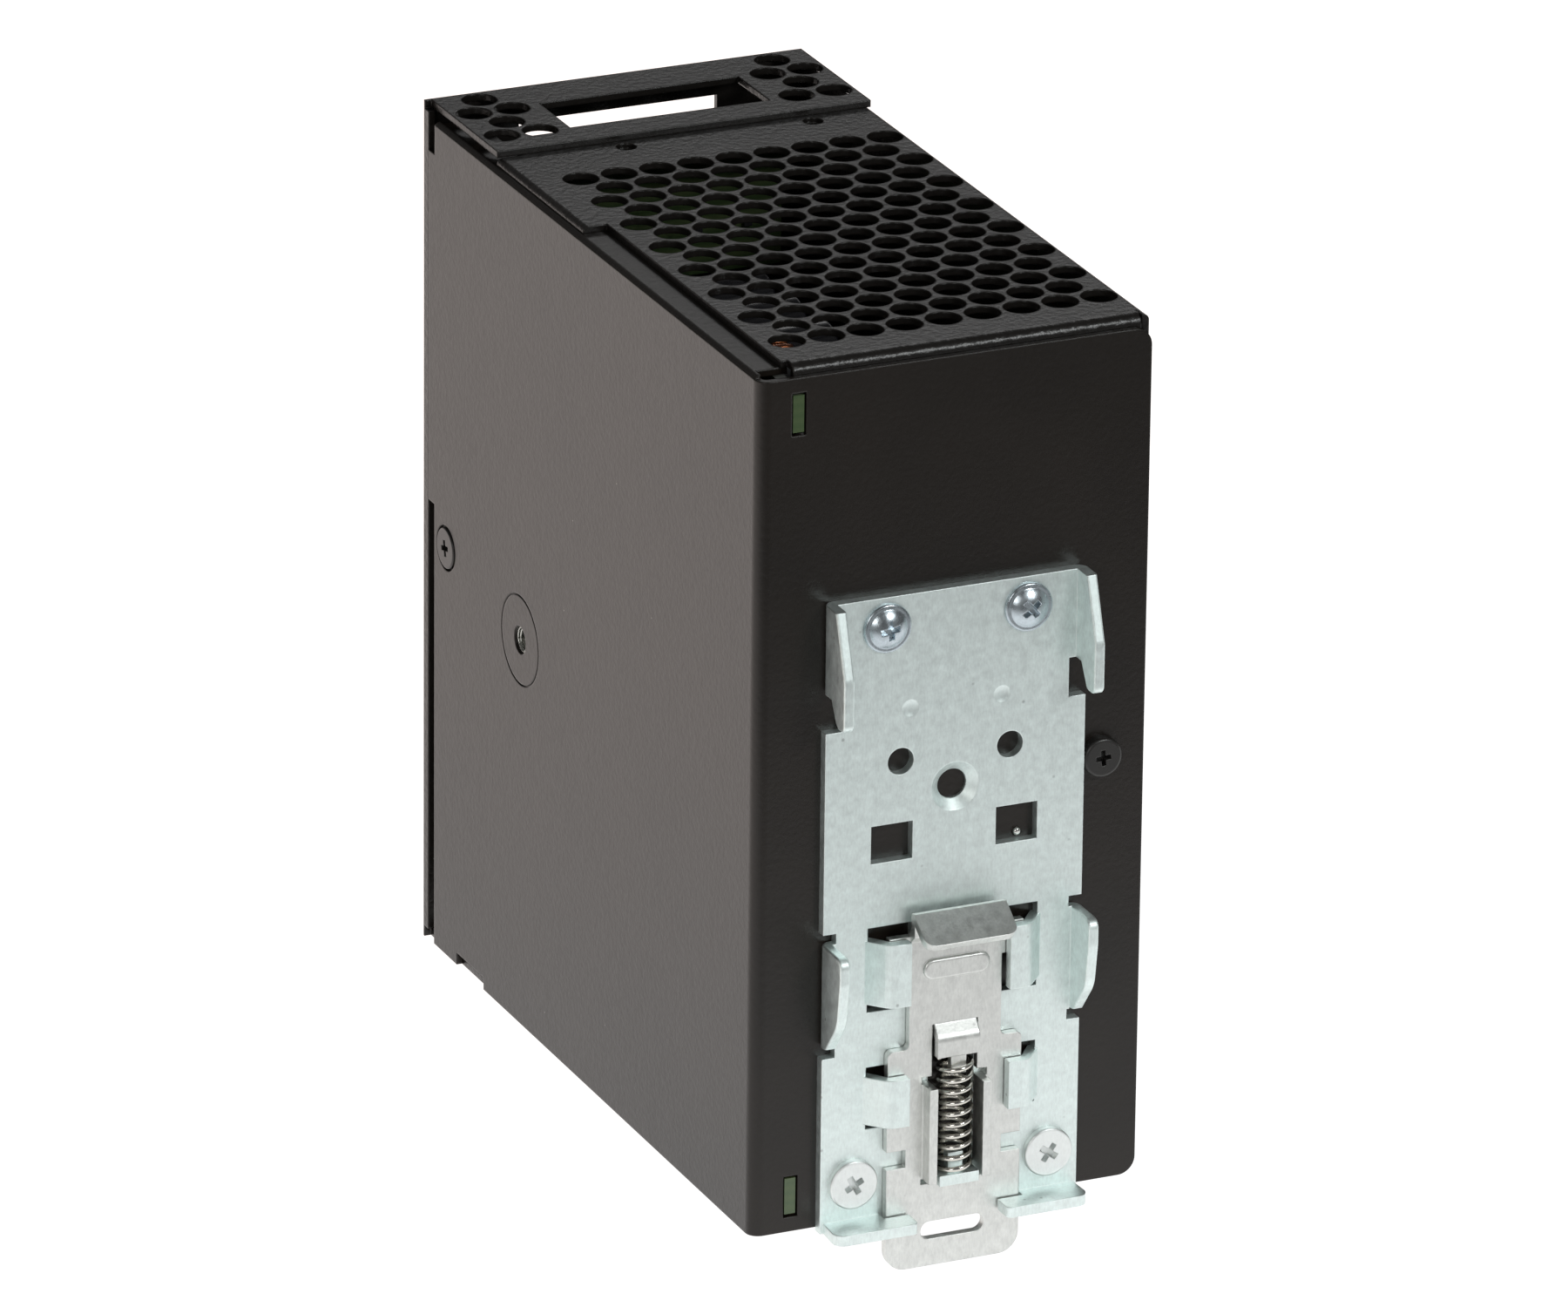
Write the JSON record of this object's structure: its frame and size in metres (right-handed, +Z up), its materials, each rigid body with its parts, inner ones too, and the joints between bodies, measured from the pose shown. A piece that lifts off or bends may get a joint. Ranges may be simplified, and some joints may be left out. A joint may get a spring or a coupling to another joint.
{
  "type": "din rail power supply",
  "caption": "Vented sheet-steel power supply case with a sprung clip on its back for a 35 mm rail, clamp terminals at the front and its circuit inside.",
  "frame": {"origin": "Centre of the rail seat: on the outer face of the clip plate (y = 0), on the clip centre line (x = 0), half way up the 35 mm rail (z = 0).", "axes": "+Z is up as mounted, +Y points out of the back towards the rail, -Y is the front with the terminals, X runs along the rail."},
  "size_m": [0.0574, 0.1238, 0.132],
  "materials": {
    "case_paint": "fine-grained matt powder coat, dark warm grey",
    "cover_paint": "fine-grained matt powder coat, dark warm grey",
    "plate_zinc": "pale blue-grey zinc plating, faint rolling streaks",
    "slider_zinc": "duller, warmer zinc plating",
    "spring_steel": "bright spring wire",
    "white_zinc": "white zinc, flat-headed screws",
    "dome_screw_zinc": "bright zinc, domed screws",
    "black_screw": "black oxide screws",
    "nut_steel": "plated steel insert",
    "pin_steel": "bright pin",
    "black_film": "thin black insulating film",
    "board_green": "green circuit board",
    "led_green": "green translucent lens",
    "can_black": "black shrink sleeve",
    "ferrite": "dark grey ferrite",
    "copper": "enamelled copper wire",
    "film_yellow": "yellow moulded box",
    "tape_yellow": "yellow winding tape",
    "sink_aluminium": "plain aluminium",
    "epoxy_black": "black moulded package",
    "fuse_ceramic": "white ceramic body",
    "nylon_white": "natural nylon",
    "trimmer_blue": "blue moulded body",
    "rotor_white": "white rotor",
    "terminal_plastic": "black moulded terminal body",
    "terminal_screw": "nickel-plated screw",
    "cage_steel": "plated steel cage"
  },
  "bodies": {
    "case": {"chassis": "case_paint", "vented_cover": "cover_paint", "front_panel": "cover_paint", "insulating_sheet": "black_film", "side_clinch_nut": "nut_steel", "locating_pin": "pin_steel", "clip_base_plate": "plate_zinc", "clip_spring": "spring_steel", "main_board": "board_green", "status_led": "led_green", "case_screw_side_right": "black_screw", "case_screw_side_left": "black_screw", "case_screw_back": "black_screw", "clip_screw_upper_left": "dome_screw_zinc", "clip_screw_upper_right": "dome_screw_zinc", "clip_screw_lower_left": "white_zinc", "clip_screw_lower_right": "white_zinc", "bulk_capacitor": "can_black", "pfc_choke_core": "ferrite", "pfc_choke_winding": "copper", "mains_choke_core": "ferrite", "mains_choke_winding": "copper", "x_capacitor": "film_yellow", "output_capacitor_1": "can_black", "output_capacitor_2": "can_black", "output_capacitor_3": "can_black", "output_choke_core": "ferrite", "output_choke_winding": "copper", "transformer_core": "ferrite", "transformer_winding": "tape_yellow", "primary_heatsink": "sink_aluminium", "secondary_heatsink": "sink_aluminium", "primary_mosfet": "epoxy_black", "bridge_rectifier": "epoxy_black", "output_rectifier": "epoxy_black", "control_board": "board_green", "fuse": "fuse_ceramic", "board_standoff_1": "nylon_white", "board_standoff_2": "nylon_white", "trimmer_body": "trimmer_blue", "output_terminal_block": "terminal_plastic", "input_terminal_block": "terminal_plastic", "output_terminal_board": "board_green", "input_terminal_board": "board_green"},
    "slider": {"clip_slider": "slider_zinc"},
    "trimmer": {"trimmer_rotor": "rotor_white"},
    "output_screw_1_body": {"output_screw_1": "terminal_screw"},
    "output_cage_1_body": {"output_cage_1": "cage_steel"},
    "output_screw_2_body": {"output_screw_2": "terminal_screw"},
    "output_cage_2_body": {"output_cage_2": "cage_steel"},
    "output_screw_3_body": {"output_screw_3": "terminal_screw"},
    "output_cage_3_body": {"output_cage_3": "cage_steel"},
    "output_screw_4_body": {"output_screw_4": "terminal_screw"},
    "output_cage_4_body": {"output_cage_4": "cage_steel"},
    "input_screw_1_body": {"input_screw_1": "terminal_screw"},
    "input_cage_1_body": {"input_cage_1": "cage_steel"},
    "input_screw_2_body": {"input_screw_2": "terminal_screw"},
    "input_cage_2_body": {"input_cage_2": "cage_steel"},
    "input_screw_3_body": {"input_screw_3": "terminal_screw"},
    "input_cage_3_body": {"input_cage_3": "cage_steel"}
  },
  "joints": [
    {"name": "slider_pull", "type": "slide", "parent": "case", "child": "slider", "axis": [0, 0, -1], "range_m": [0, 0.005], "stiffness_N_per_m": 2000, "springref_m": -0.002, "deforming": ["clip_spring"]},
    {"name": "trimmer_turn", "type": "hinge", "parent": "case", "child": "trimmer", "pos_m": [0.0181, -0.1143, 0.033], "axis": [0, 1, 0], "range_deg": [-135, 135]},
    {"name": "output_screw_1_turn", "type": "hinge", "parent": "case", "child": "output_screw_1_body", "pos_m": [-0.01185, -0.112, 0.0534], "axis": [0, 1, 0], "range_deg": [0, 2592.5]},
    {"name": "output_cage_1_rise", "type": "slide", "parent": "case", "child": "output_cage_1_body", "axis": [0, -1, 0], "range_m": [0, 0.0036]},
    {"name": "output_screw_2_turn", "type": "hinge", "parent": "case", "child": "output_screw_2_body", "pos_m": [-0.00435, -0.112, 0.0534], "axis": [0, 1, 0], "range_deg": [0, 2592.5]},
    {"name": "output_cage_2_rise", "type": "slide", "parent": "case", "child": "output_cage_2_body", "axis": [0, -1, 0], "range_m": [0, 0.0036]},
    {"name": "output_screw_3_turn", "type": "hinge", "parent": "case", "child": "output_screw_3_body", "pos_m": [0.00315, -0.112, 0.0534], "axis": [0, 1, 0], "range_deg": [0, 2592.5]},
    {"name": "output_cage_3_rise", "type": "slide", "parent": "case", "child": "output_cage_3_body", "axis": [0, -1, 0], "range_m": [0, 0.0036]},
    {"name": "output_screw_4_turn", "type": "hinge", "parent": "case", "child": "output_screw_4_body", "pos_m": [0.01065, -0.112, 0.0534], "axis": [0, 1, 0], "range_deg": [0, 2592.5]},
    {"name": "output_cage_4_rise", "type": "slide", "parent": "case", "child": "output_cage_4_body", "axis": [0, -1, 0], "range_m": [0, 0.0036]},
    {"name": "input_screw_1_turn", "type": "hinge", "parent": "case", "child": "input_screw_1_body", "pos_m": [-0.0081, -0.112, -0.0484], "axis": [0, 1, 0], "range_deg": [0, 2592.5]},
    {"name": "input_cage_1_rise", "type": "slide", "parent": "case", "child": "input_cage_1_body", "axis": [0, -1, 0], "range_m": [0, 0.0036]},
    {"name": "input_screw_2_turn", "type": "hinge", "parent": "case", "child": "input_screw_2_body", "pos_m": [-0.0006, -0.112, -0.0484], "axis": [0, 1, 0], "range_deg": [0, 2592.5]},
    {"name": "input_cage_2_rise", "type": "slide", "parent": "case", "child": "input_cage_2_body", "axis": [0, -1, 0], "range_m": [0, 0.0036]},
    {"name": "input_screw_3_turn", "type": "hinge", "parent": "case", "child": "input_screw_3_body", "pos_m": [0.0069, -0.112, -0.0484], "axis": [0, 1, 0], "range_deg": [0, 2592.5]},
    {"name": "input_cage_3_rise", "type": "slide", "parent": "case", "child": "input_cage_3_body", "axis": [0, -1, 0], "range_m": [0, 0.0036]}
  ],
  "couplings": [
    {"joint": "output_screw_1_turn", "follows": "output_cage_1_rise", "rad_per_m": 12566},
    {"joint": "output_screw_2_turn", "follows": "output_cage_2_rise", "rad_per_m": 12566},
    {"joint": "output_screw_3_turn", "follows": "output_cage_3_rise", "rad_per_m": 12566},
    {"joint": "output_screw_4_turn", "follows": "output_cage_4_rise", "rad_per_m": 12566},
    {"joint": "input_screw_1_turn", "follows": "input_cage_1_rise", "rad_per_m": 12566},
    {"joint": "input_screw_2_turn", "follows": "input_cage_2_rise", "rad_per_m": 12566},
    {"joint": "input_screw_3_turn", "follows": "input_cage_3_rise", "rad_per_m": 12566}
  ]
}
